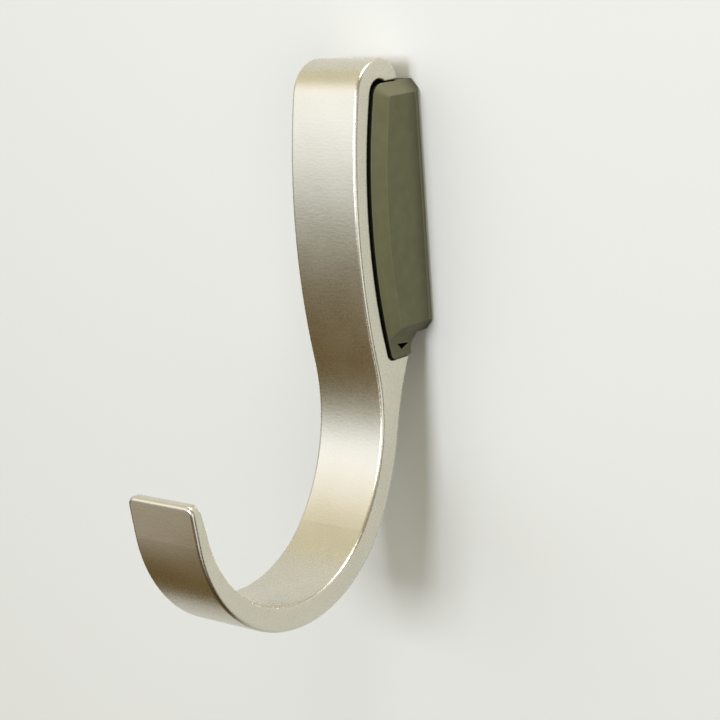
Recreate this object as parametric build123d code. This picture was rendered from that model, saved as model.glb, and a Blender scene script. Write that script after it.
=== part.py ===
from build123d import *

import math
import os

# Wall hook: a cut length of J-shaped aluminium extrusion, whose C-shaped head clasps
# a moulded plastic block that is screwed to the wall.
# Frame: +Z up, wall plane at Y = 0, hook reaches out to -Y, origin at the centre of
# the block's back face. All sizes are millimetres, and every outline point is (Y, Z).

# Extrusion: head
band_width = 15.0
edge_radius = 0.7
bow_centre_z = -2.0  # height at which head and hollow bow out furthest
front_face_y = -17.4  # foremost line of the bowed head
head_front_radius = 121.0
crown_radius = 7.0  # rounded top front corner
crown_flat = 0.25
arm_end_radius = 4.35
arm_underside_z = 22.45
cavity_front_y = -14.0  # deepest line of the head's hollow
cavity_radius = 102.6
relief_radius = 2.6  # groove in the hollow's upper corner
relief_depth = 0.6
sharp_corner_radius = 0.35
heel_z = -26.5  # ledge that the block's foot stands on
heel_tip_y = -5.1
heel_corner_radius = 1.5

# Extrusion: neck, bowl and tip
neck_back_radius = 54.0  # hollow arc from the heel down
neck_bend_radius = 46.0  # round arc from there to the bowl's outside
bowl_centre = (-38.6, -41.05)
bowl_radius = 21.9  # inside of the J
bowl_thickness = 4.5  # at its lowest point, from where it thins to the tip
neck_inside_angle = -40.0  # where the bowl's inside turns into the neck, in degrees
neck_outside_angle = -34.0
tip_inside_lean = 13.0  # straight end of the tip, leaning out from upright
tip_outside_lean = 7.5
tip_thickness = 2.1  # at its top
tip_top_z = -39.1
tip_corner_radius = 1.6

# Block
block_gap = 0.7  # between the block's front and the hollow
pad_stand_out = 1.8  # each side pad past the extrusion's side
pad_bevel = 2.2
pad_back_bevel = 1.4
pad_back_bevel_in = 0.45
body_bottom_z = -22.9
top_corner_radius = 2.6
foot_corner_radius = 1.1
foot_back = (-5.0, -24.6)
foot_root_y = -2.8
slot_corners = [(-8.8, -23.9), (-5.5, -24.3), (-7.7, -25.1)]

# Screw holes and the cored back of the block
screw_pitch = 26.0
screw_hole_radius = 2.2
screw_head_radius = 4.2
screw_head_sink = 0.5  # straight part of the recess above the cone
boss_radius = 4.7
core_depth = 8.4
core_width = 14.4
core_height = 40.8
core_corner_radius = 1.0
rib_thickness = 1.4


def polar(centre, radius, degrees):
    """Point on a circle, the angle measured from +Y towards +Z."""
    angle = math.radians(degrees)
    return (centre[0] + radius * math.cos(angle), centre[1] + radius * math.sin(angle))


def angle_at(centre, point):
    """Angle of a point as seen from a centre, measured as in polar."""
    return math.degrees(math.atan2(point[1] - centre[1], point[0] - centre[0]))


def bow_y(radius, z):
    """Y of an arc that is concentric with the head's hollow, at the height z."""
    return cavity_front_y + cavity_radius - math.sqrt(radius**2 - (z - bow_centre_z) ** 2)


def neck_circle():
    """Radius and end angle of the arc that joins the bowl's inside to the head's front."""
    away = polar((0, 0), 1, neck_inside_angle)
    touch = polar(bowl_centre, bowl_radius, neck_inside_angle)
    head_centre = (front_face_y + head_front_radius, bow_centre_z)
    reach = (head_centre[0] - touch[0], head_centre[1] - touch[1])
    along = reach[0] * away[0] + reach[1] * away[1]
    spare = reach[0] ** 2 + reach[1] ** 2 - head_front_radius**2
    radius = spare / (2 * (head_front_radius - along))
    centre = polar(touch, -radius, neck_inside_angle)
    return radius, angle_at(centre, head_centre)


def neck_back_centres():
    """Centres of the two tangent arcs that run from the heel into the bowl's outside."""
    outer_radius = bowl_radius + bowl_thickness
    both_radii = neck_bend_radius + neck_back_radius
    bend_centre = polar(bowl_centre, outer_radius - neck_bend_radius, neck_outside_angle)
    reach = math.dist(bend_centre, (heel_tip_y, heel_z))
    opening = math.acos((reach**2 + both_radii**2 - neck_back_radius**2) / (2 * reach * both_radii))
    angle = angle_at(bend_centre, (heel_tip_y, heel_z)) - math.degrees(opening)
    return bend_centre, polar(bend_centre, both_radii, angle)


def tip_top_points():
    """Inner and outer corner of the tip's top, the inner one on the line that leans out of the bowl."""
    root = polar(bowl_centre, bowl_radius, 180 + tip_inside_lean)
    inner_y = root[0] - (tip_top_z - root[1]) * math.tan(math.radians(tip_inside_lean))
    return (inner_y, tip_top_z), (inner_y - tip_thickness, tip_top_z)


def relief_points():
    """End, top and start of the groove's arc, which runs out of the hollow tangentially."""
    centre_z = arm_underside_z + relief_depth - relief_radius
    hollow_centre = (cavity_front_y + cavity_radius, bow_centre_z)
    spread = cavity_radius - relief_radius
    angle = 180 - math.degrees(math.asin((centre_z - bow_centre_z) / spread))
    centre = polar(hollow_centre, spread, angle)
    end_y = centre[0] + math.sqrt(relief_radius**2 - (arm_underside_z - centre_z) ** 2)
    top = (centre[0], centre_z + relief_radius)
    return (end_y, arm_underside_z), top, polar(hollow_centre, cavity_radius, angle)


def nearest(sketch, point):
    """The sketch's vertex closest to a point."""
    return sketch.vertices().sort_by_distance(Vector(*point))[0]


def hook_face():
    """Side outline of the extrusion, walked down the inside of the J and back up behind it."""
    outer_radius = bowl_radius + bowl_thickness
    neck_radius, neck_end = neck_circle()
    bend_centre, back_centre = neck_back_centres()
    bend_angle = angle_at(bend_centre, back_centre)
    heel_angle = angle_at(back_centre, (heel_tip_y, heel_z))
    crown_z = arm_underside_z + arm_end_radius - crown_radius
    bow = math.degrees(math.asin((crown_z - bow_centre_z) / (head_front_radius - crown_radius)))
    relief_end, relief_top, relief_start = relief_points()
    hollow_foot = (bow_y(cavity_radius, heel_z), heel_z)
    inner_top, outer_top = tip_top_points()
    taper_start = polar(bowl_centre, outer_radius, -90)
    lean = math.radians(tip_outside_lean)
    taper_reach = taper_start[0] - outer_top[0] - (tip_top_z - taper_start[1]) * math.tan(lean)
    taper_radius = taper_reach * math.cos(lean) / (1 - math.sin(lean))

    with BuildSketch() as sketch:
        with BuildLine():
            tip = Line(inner_top, polar(bowl_centre, bowl_radius, 180 + tip_inside_lean))
            bowl = JernArc(tip @ 1, tip % 1, bowl_radius, 180 - tip_inside_lean + neck_inside_angle)
            neck = JernArc(bowl @ 1, bowl % 1, neck_radius, neck_end - neck_inside_angle)
            front = JernArc(neck @ 1, neck % 1, head_front_radius, -neck_end - bow)
            crown = JernArc(front @ 1, front % 1, crown_radius, bow - 90)
            top = Line(crown @ 1, (crown @ 1) + (crown_flat, 0))
            arm_end = JernArc(top @ 1, top % 1, arm_end_radius, -90)
            Line(arm_end @ 1, relief_end)
            ThreePointArc(relief_end, relief_top, relief_start)
            ThreePointArc(relief_start, (cavity_front_y, bow_centre_z), hollow_foot)
            Line(hollow_foot, (heel_tip_y, heel_z))
            CenterArc(back_centre, neck_back_radius, heel_angle, 180 + bend_angle - heel_angle)
            CenterArc(bend_centre, neck_bend_radius, bend_angle, neck_outside_angle - bend_angle)
            CenterArc(bowl_centre, outer_radius, neck_outside_angle, -90 - neck_outside_angle)
            taper = JernArc(taper_start, (-1, 0), taper_radius, tip_outside_lean - 90)
            Line(taper @ 1, outer_top)
            Line(outer_top, inner_top)
        make_face()
        fillet(nearest(sketch, hollow_foot), heel_corner_radius)
        for corner in (relief_end, arm_end @ 1, (heel_tip_y, heel_z)):
            fillet(nearest(sketch, corner), sharp_corner_radius)
    return Plane.YZ * sketch.sketch


def on_side(edge):
    """True for an edge that lies in one of the extrusion's two sawn sides."""
    return abs(abs(edge.center().X) - band_width / 2) < 1e-4


def on_tip_end(edge):
    """True for an edge that bounds the tip's end, also round its corners."""
    inner_y = bowl_centre[0] - bowl_radius
    return edge.center().Z > tip_top_z - tip_corner_radius and edge.center().Y < inner_y + 1e-4


def make_hook_body():
    """The extrusion: cut to width, tip corners rounded, then every sawn edge broken."""
    body = extrude(hook_face(), band_width / 2, both=True)
    tip_corners = body.edges().filter_by(on_side).filter_by(on_tip_end).filter_by(Axis.Y)
    body = body.fillet(tip_corner_radius, tip_corners)
    across = body.edges().filter_by(Axis.Y)
    sharp = body.edges().filter_by(lambda edge: on_side(edge) or on_tip_end(edge))
    return body.fillet(edge_radius, [edge for edge in sharp if edge not in across])


def block_face(bottom_z):
    """Side outline of the block: flat back, and a front that follows the hollow."""
    front_radius = cavity_radius - block_gap
    top_front = (bow_y(front_radius, arm_underside_z), arm_underside_z)
    bottom_front = (bow_y(front_radius, bottom_z), bottom_z)
    with BuildSketch() as sketch:
        with BuildLine():
            Polyline(bottom_front, (0, bottom_z), (0, arm_underside_z), top_front)
            ThreePointArc(top_front, (cavity_front_y + block_gap, bow_centre_z), bottom_front)
        make_face()
        fillet(nearest(sketch, top_front), top_corner_radius)
    return Plane.YZ * sketch.sketch


def make_body():
    """The block's body, its side pads bevelled all round and flattest at the wall."""
    body = extrude(block_face(body_bottom_z), band_width / 2 + pad_stand_out, both=True)
    for end in (0, -1):
        side = body.faces().sort_by(Axis.X)[end]
        back = side.edges().sort_by(Axis.Y)[-1]
        body = body.chamfer(pad_back_bevel, pad_back_bevel_in, [back], face=side)
        side = body.faces().sort_by(Axis.X)[end]
        rest = side.edges().sort_by(Axis.Y)[:-1]
        body = body.chamfer(pad_bevel, pad_stand_out, rest, face=side)
    return body


def make_foot():
    """The narrow foot that stands on the hook's heel, with a triangular slot through it."""
    front_radius = cavity_radius - block_gap
    root_front = (bow_y(front_radius, body_bottom_z), body_bottom_z)
    toe = (bow_y(front_radius, heel_z), heel_z)
    with BuildSketch() as sketch:
        Polygon(root_front, toe, (foot_back[0], heel_z), foot_back, (foot_root_y, body_bottom_z), align=None)
        fillet(nearest(sketch, toe), foot_corner_radius)
        Polygon(*slot_corners, align=None, mode=Mode.SUBTRACT)
    return extrude(Plane.YZ * sketch.sketch, band_width / 2, both=True)


def cored_back():
    """What is cored out behind: one pocket less two screw bosses and the ribs between them."""
    with BuildSketch() as sketch:
        RectangleRounded(core_width, core_height, core_corner_radius)
        Rectangle(rib_thickness, core_height, mode=Mode.SUBTRACT)
        Rectangle(core_width, rib_thickness, mode=Mode.SUBTRACT)
        with GridLocations(0, screw_pitch, 1, 2):
            Circle(boss_radius, mode=Mode.SUBTRACT)
            Rectangle(core_width, rib_thickness, mode=Mode.SUBTRACT)
    return extrude(Plane.XZ * sketch.sketch, core_depth)


def make_wall_block():
    """Body and foot in one moulding, cored behind, with two countersunk screw holes."""
    moulding = make_body() + make_foot() - cored_back()
    with BuildPart() as block:
        add(moulding)
        for z in (-screw_pitch / 2, screw_pitch / 2):
            seat_y = bow_y(cavity_radius - block_gap, z) + screw_head_sink
            with Locations(Plane((0, seat_y, z), z_dir=(0, -1, 0))):
                CounterSinkHole(screw_hole_radius, screw_head_radius, counter_sink_angle=90)
    return block.part


os.makedirs("parts", exist_ok=True)
export_step(make_hook_body(), "parts/hook_body.step")
export_step(make_wall_block(), "parts/wall_block.step")
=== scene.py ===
import math

import bpy
from mathutils import Euler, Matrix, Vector

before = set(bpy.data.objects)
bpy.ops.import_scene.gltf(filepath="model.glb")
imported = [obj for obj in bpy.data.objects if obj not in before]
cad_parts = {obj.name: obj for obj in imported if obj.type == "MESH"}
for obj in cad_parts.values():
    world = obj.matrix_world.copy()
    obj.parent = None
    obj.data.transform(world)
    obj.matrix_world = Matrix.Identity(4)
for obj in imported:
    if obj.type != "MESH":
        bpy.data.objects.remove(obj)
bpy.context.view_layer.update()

MM = 0.001

# Camera: fitted to the near and far edges of the hook's constant width band
CAMERA_AIM = Vector((3.78, -15.0, -25.85)) * MM
CAMERA_AZIMUTH = math.radians(40.2)
CAMERA_ELEVATION = math.radians(12.8)
CAMERA_ROLL = math.radians(-4.06)
CAMERA_DISTANCE = 346.6 * MM
CAMERA_LENS_MM = 97.5
CAMERA_CLIP_START = 10 * MM

# Wall, with an opening behind the block's hollow, so that back views see into it
WALL_GAP = 0.2 * MM
WALL_HALF_WIDTH = 0.6
WALL_BOTTOM = -0.6
WALL_TOP = 0.6
WALL_OPENING_HALF_WIDTH = 6.9 * MM
WALL_OPENING_HALF_HEIGHT = 20.1 * MM
WALL_COLOR = (0.71, 0.715, 0.67, 1)
WALL_ROUGHNESS = 0.45
WALL_SPECULAR = 0.3

# Floor, far below the hook
FLOOR_Z = -0.75
FLOOR_HALF_WIDTH = 1.2
FLOOR_HALF_DEPTH = 0.62
FLOOR_COLOR = (0.78, 0.77, 0.74, 1)
FLOOR_ROUGHNESS = 0.8

# Room light: its colour by height, 0 straight down to 1 straight up, times a share by side,
# 0 full left to 1 full right, and a narrow window on the right in front
ROOM_BY_HEIGHT = [
    (0.0, (0.14, 0.09, 0.02)),
    (0.33, (0.155, 0.10, 0.025)),
    (0.415, (0.36, 0.35, 0.28)),
    (0.50, (1.03, 1.08, 1.10)),
    (0.57, (1.45, 1.50, 1.62)),
    (0.66, (1.42, 1.44, 1.47)),
    (0.75, (1.28, 1.23, 1.12)),
    (0.82, (0.88, 0.82, 0.60)),
    (0.93, (0.80, 0.75, 0.57)),
    (1.0, (2.4, 2.3, 2.1)),
]
ROOM_BY_SIDE = [
    (0.0, (0.35, 0.35, 0.35)),
    (0.05, (0.45, 0.45, 0.45)),
    (0.12, (1.0, 1.0, 1.0)),
    (0.28, (1.0, 1.0, 1.0)),
    (0.52, (0.50, 0.47, 0.38)),
    (0.75, (0.30, 0.28, 0.22)),
    (1.0, (0.22, 0.20, 0.15)),
]
WINDOW_WAY = (0.74, -0.67, 0.0)
WINDOW_HEIGHT_SHARE = 0.8  # under 1 stretches the window upright
WINDOW_DROP = 0.17  # lowers its middle
WINDOW_EDGE = 0.88  # cosine of the angle from its middle where its light begins
WINDOW_FULL = 0.985  # and where it is full
WINDOW_COLOR = (1.2, 1.22, 1.2)

# What the camera sees of the room past the wall
BACKDROP = (0.80, 0.81, 0.78, 1)

# Lamps: name, place, target, size, power in watts and colour
LAMPS = [
    ("key", (0.035, -0.85, 0.15), (0, 0, -0.02), (0.27, 0.24), 4.2, (0.96, 1.0, 1.14)),
    ("overhead", (0.25, -0.10, 0.8), (0.01, -0.01, 0), (0.25, 0.25), 5.3, (1.0, 0.98, 0.94)),
]

# A small graded card below the hook's tip: strips by angle below level, and how bright each is
TIP_TOP = Vector((0, -62.0, -41.0)) * MM
TIP_FILL = [(18, 0.42), (28, 0.30), (38, 0.15), (48, 0.08), (58, 0.04)]
TIP_FILL_SIDE = math.radians(46)
TIP_FILL_DISTANCE = 55 * MM
TIP_FILL_SIZE = (30 * MM, 9.6 * MM)

# Metal: each noise by its scale per metre, its detail and how it is stretched across the band
METAL_GRAIN = {"scale": 5200, "detail": 3, "roughness": 0.6, "stretch": (0.45, 1, 1)}
METAL_STREAK = {"scale": 2300, "detail": 2, "roughness": 0.5, "stretch": (0.35, 1, 1)}
METAL_CLOUD = {"scale": 160, "detail": 2}
METAL_COLORS = [(0, (0.655, 0.62, 0.525)), (1, (0.685, 0.65, 0.555))]
METAL_ROUGHNESS = (0.25, 0.31)  # by grain
METAL_ROUGHNESS_DRIFT = (-0.01, 0.01)  # by cloud
METAL_GRAIN_HEIGHT = 0.008 * MM
METAL_STREAK_HEIGHT = 0.014 * MM
SAWN_SIDE = (0.5, 0.95)  # a normal's sideways share, from the band's faces to its sawn sides
METAL_RELIEF = (0.8, 0.2)  # strength of the relief on each

# Plastic: painted highlight on rounded creases, painted light on faces that look up, painted shade in
# gaps and corners
PLASTIC_GRAIN = {"scale": 3600, "detail": 3, "roughness": 0.65}
PLASTIC_CLOUD = {"scale": 420, "detail": 3}
PLASTIC_COLORS = [(0, (0.101, 0.098, 0.043)), (1, (0.120, 0.117, 0.054))]
PLASTIC_ROUGHNESS = (0.5, 0.62)
PLASTIC_SPECULAR = 0.4
PLASTIC_GRAIN_HEIGHT = 0.03 * MM
PLASTIC_RELIEF = 0.8
CREASE_RADIUS = 0.35 * MM
CREASE_SAMPLES = 8
CREASE_TURN = (0.998, 0.965)  # cosine between the rounded normal and the true one
# Painted highlight on rounded edges and creases: how much of it, and its colour
CREASE_HIGHLIGHT_SHARE = 0.6
CREASE_HIGHLIGHT_COLOR = (0.20, 0.19, 0.125, 1)
# Painted light from above: faces that look up are paler
TOP_LIGHT_FROM = 0.2  # upward share of the normal where the painted light from above begins
TOP_LIGHT_SHARE = 0.35
TOP_LIGHT_COLOR = (0.30, 0.285, 0.21, 1)
# Painted shade: the colour darkened by occlusion in narrow gaps and in wider corners
SHADE_SAMPLES = 12
GAP_REACH = 2.0 * MM
GAP_PAINTED_SHADE = [(0.18, (0.05, 0.05, 0.05)), (0.62, (1, 1, 1))]
CORNER_REACH = 9.0 * MM
CORNER_PAINTED_SHADE = [(0.42, (0.10, 0.08, 0.04)), (0.78, (1, 1, 1))]
UNSHADED = (1, 1, 1, 1)

# The block's hollow, a little larger than it is: the middle and half sizes of its box
HOLLOW_MIDDLE = (0, -4.2 * MM, 0)
HOLLOW_HALF = (7.3 * MM, 4.35 * MM, 20.6 * MM)
REAR_NORMAL = 0.3  # a normal further than this towards the wall belongs to the block's back


class Nodes:
    """Adds shader nodes to one tree: add returns the node, the others what it gives out."""

    def __init__(self, tree):
        tree.nodes.clear()
        self.tree = tree

    def add(self, kind, inputs=None, **settings):
        node = self.tree.nodes.new(kind)
        for name, value in settings.items():
            setattr(node, name, value)
        for key, value in (inputs or {}).items():
            if isinstance(value, bpy.types.NodeSocket):
                self.tree.links.new(value, node.inputs[key])
            else:
                node.inputs[key].default_value = value
        return node

    def math(self, operation, *values):
        return self.add("ShaderNodeMath", dict(enumerate(values)), operation=operation).outputs[0]

    def vector(self, operation, *values):
        node = self.add("ShaderNodeVectorMath", dict(enumerate(values)), operation=operation)
        return node.outputs["Value" if operation == "DOT_PRODUCT" else "Vector"]

    def split(self, vector):
        return self.add("ShaderNodeSeparateXYZ", {0: vector}).outputs

    def place(self):
        """Position in the part's own metres."""
        return self.add("ShaderNodeTexCoord").outputs["Object"]

    def normal(self):
        return self.add("ShaderNodeNewGeometry").outputs["Normal"]

    def remap(self, value, before, after, **settings):
        inputs = dict(zip(("From Min", "From Max", "To Min", "To Max"), (*before, *after)))
        return self.add("ShaderNodeMapRange", {"Value": value, **inputs}, **settings).outputs["Result"]

    def ramp(self, factor, stops):
        node = self.add("ShaderNodeValToRGB", {"Fac": factor})
        elements = node.color_ramp.elements
        for index, (position, color) in enumerate(stops):
            element = elements[index] if index < 2 else elements.new(position)
            element.position = position
            element.color = (*color, 1.0)
        return node.outputs["Color"]

    def mix(self, factor, first, second):
        """Mixes two colours, through the node's colour sockets: 6 and 7 in, 2 out."""
        inputs = {0: factor, 6: first, 7: second}
        return self.add("ShaderNodeMix", inputs, data_type="RGBA").outputs[2]

    def noise(self, scale, detail, roughness=0.5, stretch=(1, 1, 1)):
        """Noise whose grain has a real size."""
        mapped = self.add("ShaderNodeMapping", {"Vector": self.place(), "Scale": stretch}).outputs[0]
        inputs = {"Vector": mapped, "Scale": scale, "Detail": detail, "Roughness": roughness}
        return self.add("ShaderNodeTexNoise", inputs).outputs["Fac"]

    def spread(self, value, low, high):
        """Maps a noise's middle range to low..high."""
        return self.remap(value, (0.3, 0.7), (low, high))

    def bump(self, height, distance, strength, normal=None):
        inputs = {"Height": height, "Distance": distance, "Strength": strength}
        if normal:
            inputs["Normal"] = normal
        return self.add("ShaderNodeBump", inputs).outputs["Normal"]

    def surface(self, **inputs):
        """A Principled shader; an input's name has _ for each space."""
        named = {name.replace("_", " "): value for name, value in inputs.items()}
        return self.add("ShaderNodeBsdfPrincipled", named).outputs[0]

    def finish(self, shader):
        self.add("ShaderNodeOutputMaterial", {"Surface": shader})


def new_material(name):
    material = bpy.data.materials.new(name)
    material.use_nodes = True
    return material, Nodes(material.node_tree)


def satin_aluminium():
    """Fine blasted and anodised aluminium: a soft gloss over a grain longer across the band."""
    material, nodes = new_material("satin_aluminium")
    grain = nodes.noise(**METAL_GRAIN)
    streak = nodes.noise(**METAL_STREAK)
    cloud = nodes.noise(**METAL_CLOUD)
    sideways = nodes.math("ABSOLUTE", nodes.split(nodes.normal())["X"])
    relief = nodes.remap(sideways, SAWN_SIDE, METAL_RELIEF)
    streaks = nodes.bump(streak, METAL_STREAK_HEIGHT, relief)
    by_grain = nodes.spread(grain, *METAL_ROUGHNESS)
    by_cloud = nodes.spread(cloud, *METAL_ROUGHNESS_DRIFT)
    shader = nodes.surface(
        Base_Color=nodes.ramp(nodes.spread(cloud, 0, 1), METAL_COLORS),
        Metallic=1.0,
        Roughness=nodes.math("ADD", by_grain, by_cloud),
        Normal=nodes.bump(grain, METAL_GRAIN_HEIGHT, relief, streaks),
    )
    nodes.finish(shader)
    return material


def hollow_back(nodes):
    """1 inside the block's hollow and on its faces that look at the wall, 0 elsewhere."""
    offset = nodes.vector("SUBTRACT", nodes.place(), HOLLOW_MIDDLE)
    share = nodes.vector("ABSOLUTE", nodes.vector("DIVIDE", offset, HOLLOW_HALF))
    x, y, z = nodes.split(share)
    farthest = nodes.math("MAXIMUM", nodes.math("MAXIMUM", x, y), z)
    inside = nodes.math("LESS_THAN", farthest, 1.0)
    rear = nodes.math("GREATER_THAN", nodes.split(nodes.normal())["Y"], REAR_NORMAL)
    return nodes.math("MAXIMUM", inside, rear)


def occlusion(nodes, reach, shades):
    """Painted shade: darkens the colour where other surfaces within reach close in."""
    node = nodes.add("ShaderNodeAmbientOcclusion", {"Distance": reach}, samples=SHADE_SAMPLES)
    return nodes.ramp(node.outputs["AO"], shades)


def olive_plastic():
    """Matte moulded plastic, olive grey, with the fine grain of an etched mould. Its colour carries a
    painted highlight on creases, painted light on faces that look up and painted shade in gaps and
    corners.
    """
    material, nodes = new_material("olive_plastic")
    grain = nodes.noise(**PLASTIC_GRAIN)
    cloud = nodes.noise(**PLASTIC_CLOUD)
    paint = nodes.ramp(nodes.spread(cloud, 0, 1), PLASTIC_COLORS)
    normal = nodes.normal()
    bevel = nodes.add("ShaderNodeBevel", {"Radius": CREASE_RADIUS}, samples=CREASE_SAMPLES)
    crease = bevel.outputs[0]
    same = nodes.vector("DOT_PRODUCT", crease, normal)
    # painted highlight: paler where the rounded normal turns away from the true one, on edges and
    # creases
    crease_highlight = nodes.remap(same, CREASE_TURN, (0, CREASE_HIGHLIGHT_SHARE))
    # painted light: faces that look up are paler, standing in for light from above
    top_light = nodes.remap(nodes.split(normal)["Z"], (TOP_LIGHT_FROM, 1), (0, TOP_LIGHT_SHARE))
    paint_with_painted_light = nodes.mix(top_light, nodes.mix(crease_highlight, paint, CREASE_HIGHLIGHT_COLOR), TOP_LIGHT_COLOR)
    # painted shade in the gap beside the metal, in corners and under the pad
    in_gap = occlusion(nodes, GAP_REACH, GAP_PAINTED_SHADE)
    in_corner = occlusion(nodes, CORNER_REACH, CORNER_PAINTED_SHADE)
    painted_occlusion = nodes.vector("MULTIPLY", in_gap, in_corner)
    # the painted shade is left off the block's hollow and its faces that look at the wall
    shade = nodes.mix(hollow_back(nodes), painted_occlusion, UNSHADED)
    shader = nodes.surface(
        Base_Color=nodes.vector("MULTIPLY", paint_with_painted_light, shade),
        Roughness=nodes.spread(grain, *PLASTIC_ROUGHNESS),
        Specular_IOR_Level=PLASTIC_SPECULAR,
        Normal=nodes.bump(grain, PLASTIC_GRAIN_HEIGHT, PLASTIC_RELIEF, crease),
    )
    nodes.finish(shader)
    return material


def wall_paint():
    """Smooth pale wall, seen only from the hook's side, so that back views are open."""
    material, nodes = new_material("wall_paint")
    paint = nodes.surface(
        Base_Color=WALL_COLOR, Roughness=WALL_ROUGHNESS, Specular_IOR_Level=WALL_SPECULAR
    )
    clear = nodes.add("ShaderNodeBsdfTransparent").outputs[0]
    behind = nodes.add("ShaderNodeNewGeometry").outputs["Backfacing"]
    nodes.finish(nodes.add("ShaderNodeMixShader", {0: behind, 1: paint, 2: clear}).outputs[0])
    return material


def floor_paint():
    material, nodes = new_material("floor_paint")
    nodes.finish(nodes.surface(Base_Color=FLOOR_COLOR, Roughness=FLOOR_ROUGHNESS))
    return material


def rectangle(half_width, low, high):
    """Corners of a rectangle centred on 0, counter-clockwise from its lower left."""
    return [(-half_width, low), (half_width, low), (half_width, high), (-half_width, high)]


def add_panel(name, corners, faces, material):
    """A stage panel whose faces run counter-clockwise as seen from its front."""
    mesh = bpy.data.meshes.new(name)
    mesh.from_pydata(corners, [], faces)
    panel = bpy.data.objects.new(name, mesh)
    panel.data.materials.append(material)
    bpy.context.scene.collection.objects.link(panel)
    return panel


def build_stage():
    outline = rectangle(WALL_HALF_WIDTH, WALL_BOTTOM, WALL_TOP)
    height = WALL_OPENING_HALF_HEIGHT
    opening = rectangle(WALL_OPENING_HALF_WIDTH, -height, height)
    wall = [(x, WALL_GAP, z) for x, z in outline + opening]
    around = [(i, (i + 1) % 4, (i + 1) % 4 + 4, i + 4) for i in range(4)]
    add_panel("stage_wall", wall, around, wall_paint())

    plan = rectangle(FLOOR_HALF_WIDTH, -FLOOR_HALF_DEPTH, FLOOR_HALF_DEPTH)
    floor = [(x, y, FLOOR_Z) for x, y in plan]
    ground = add_panel("stage_floor", floor, [(0, 1, 2, 3)], floor_paint())
    ground.visible_glossy = False
    ground.visible_diffuse = False


def build_world():
    """A plain room, bright from eye level up on the left, dark and warm below and on the right.

    The camera sees an even backdrop in its place.
    """
    world = bpy.data.worlds.new("room")
    world.use_nodes = True
    bpy.context.scene.world = world
    nodes = Nodes(world.node_tree)
    direction = nodes.add("ShaderNodeTexCoord").outputs["Generated"]
    parts = nodes.split(direction)
    height = nodes.remap(parts["Z"], (-1, 1), (0, 1))
    side = nodes.remap(parts["X"], (-1, 1), (0, 1))
    lowered = nodes.vector(
        "MULTIPLY_ADD", direction, (1, 1, WINDOW_HEIGHT_SHARE), (0, 0, WINDOW_DROP)
    )
    near = nodes.vector("DOT_PRODUCT", nodes.vector("NORMALIZE", lowered), WINDOW_WAY)
    window = nodes.remap(
        near, (WINDOW_EDGE, WINDOW_FULL), (0, 1), interpolation_type="SMOOTHSTEP"
    )
    glow = nodes.vector("MULTIPLY", WINDOW_COLOR, window)
    by_height = nodes.ramp(height, ROOM_BY_HEIGHT)
    by_side = nodes.ramp(side, ROOM_BY_SIDE)
    color = nodes.vector("MULTIPLY_ADD", by_height, by_side, glow)
    seen = nodes.add("ShaderNodeLightPath").outputs["Is Camera Ray"]
    light = nodes.add("ShaderNodeBackground", {"Color": nodes.mix(seen, color, BACKDROP)})
    nodes.add("ShaderNodeOutputWorld", {"Surface": light.outputs[0]})


def add_lamp(name, place, target, size, power, color=(1, 1, 1)):
    lamp = bpy.data.lights.new(name, "AREA")
    lamp.shape = "RECTANGLE"
    lamp.size, lamp.size_y = size
    lamp.energy = power
    lamp.color = color
    holder = bpy.data.objects.new(name, lamp)
    holder.location = place
    way = Vector(target) - Vector(place)
    holder.rotation_euler = way.to_track_quat("-Z", "Y").to_euler()
    holder.visible_camera = False
    bpy.context.scene.collection.objects.link(holder)


def build_lamps():
    for lamp in LAMPS:
        add_lamp(*lamp)
    width, height = TIP_FILL_SIZE
    for number, (drop, glow) in enumerate(TIP_FILL, start=1):
        angle = math.radians(drop)
        level = Vector((-math.sin(TIP_FILL_SIDE), -math.cos(TIP_FILL_SIDE), 0))
        way = level * math.cos(angle) - Vector((0, 0, math.sin(angle)))
        place = TIP_TOP + TIP_FILL_DISTANCE * way
        power = math.pi * width * height * glow
        add_lamp("tip_fill_%d" % number, place, TIP_TOP, TIP_FILL_SIZE, power)


def build_camera():
    camera = bpy.data.objects.new("camera", bpy.data.cameras.new("camera"))
    camera.data.lens = CAMERA_LENS_MM
    camera.data.clip_start = CAMERA_CLIP_START
    turn = Euler((math.pi / 2 - CAMERA_ELEVATION, 0, CAMERA_AZIMUTH)).to_matrix()
    roll = Euler((0, 0, CAMERA_ROLL)).to_matrix()
    facing = turn @ roll
    camera.location = CAMERA_AIM + facing @ Vector((0, 0, CAMERA_DISTANCE))
    camera.rotation_euler = facing.to_euler()
    bpy.context.scene.collection.objects.link(camera)
    bpy.context.scene.camera = camera


def dress(node, material):
    """Puts one finish in every material slot of a CAD node."""
    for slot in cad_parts[node].material_slots:
        slot.material = material


dress("hook_body", satin_aluminium())
dress("wall_block", olive_plastic())
build_stage()
build_world()
build_lamps()
build_camera()
bpy.context.scene.view_settings.view_transform = "Standard"
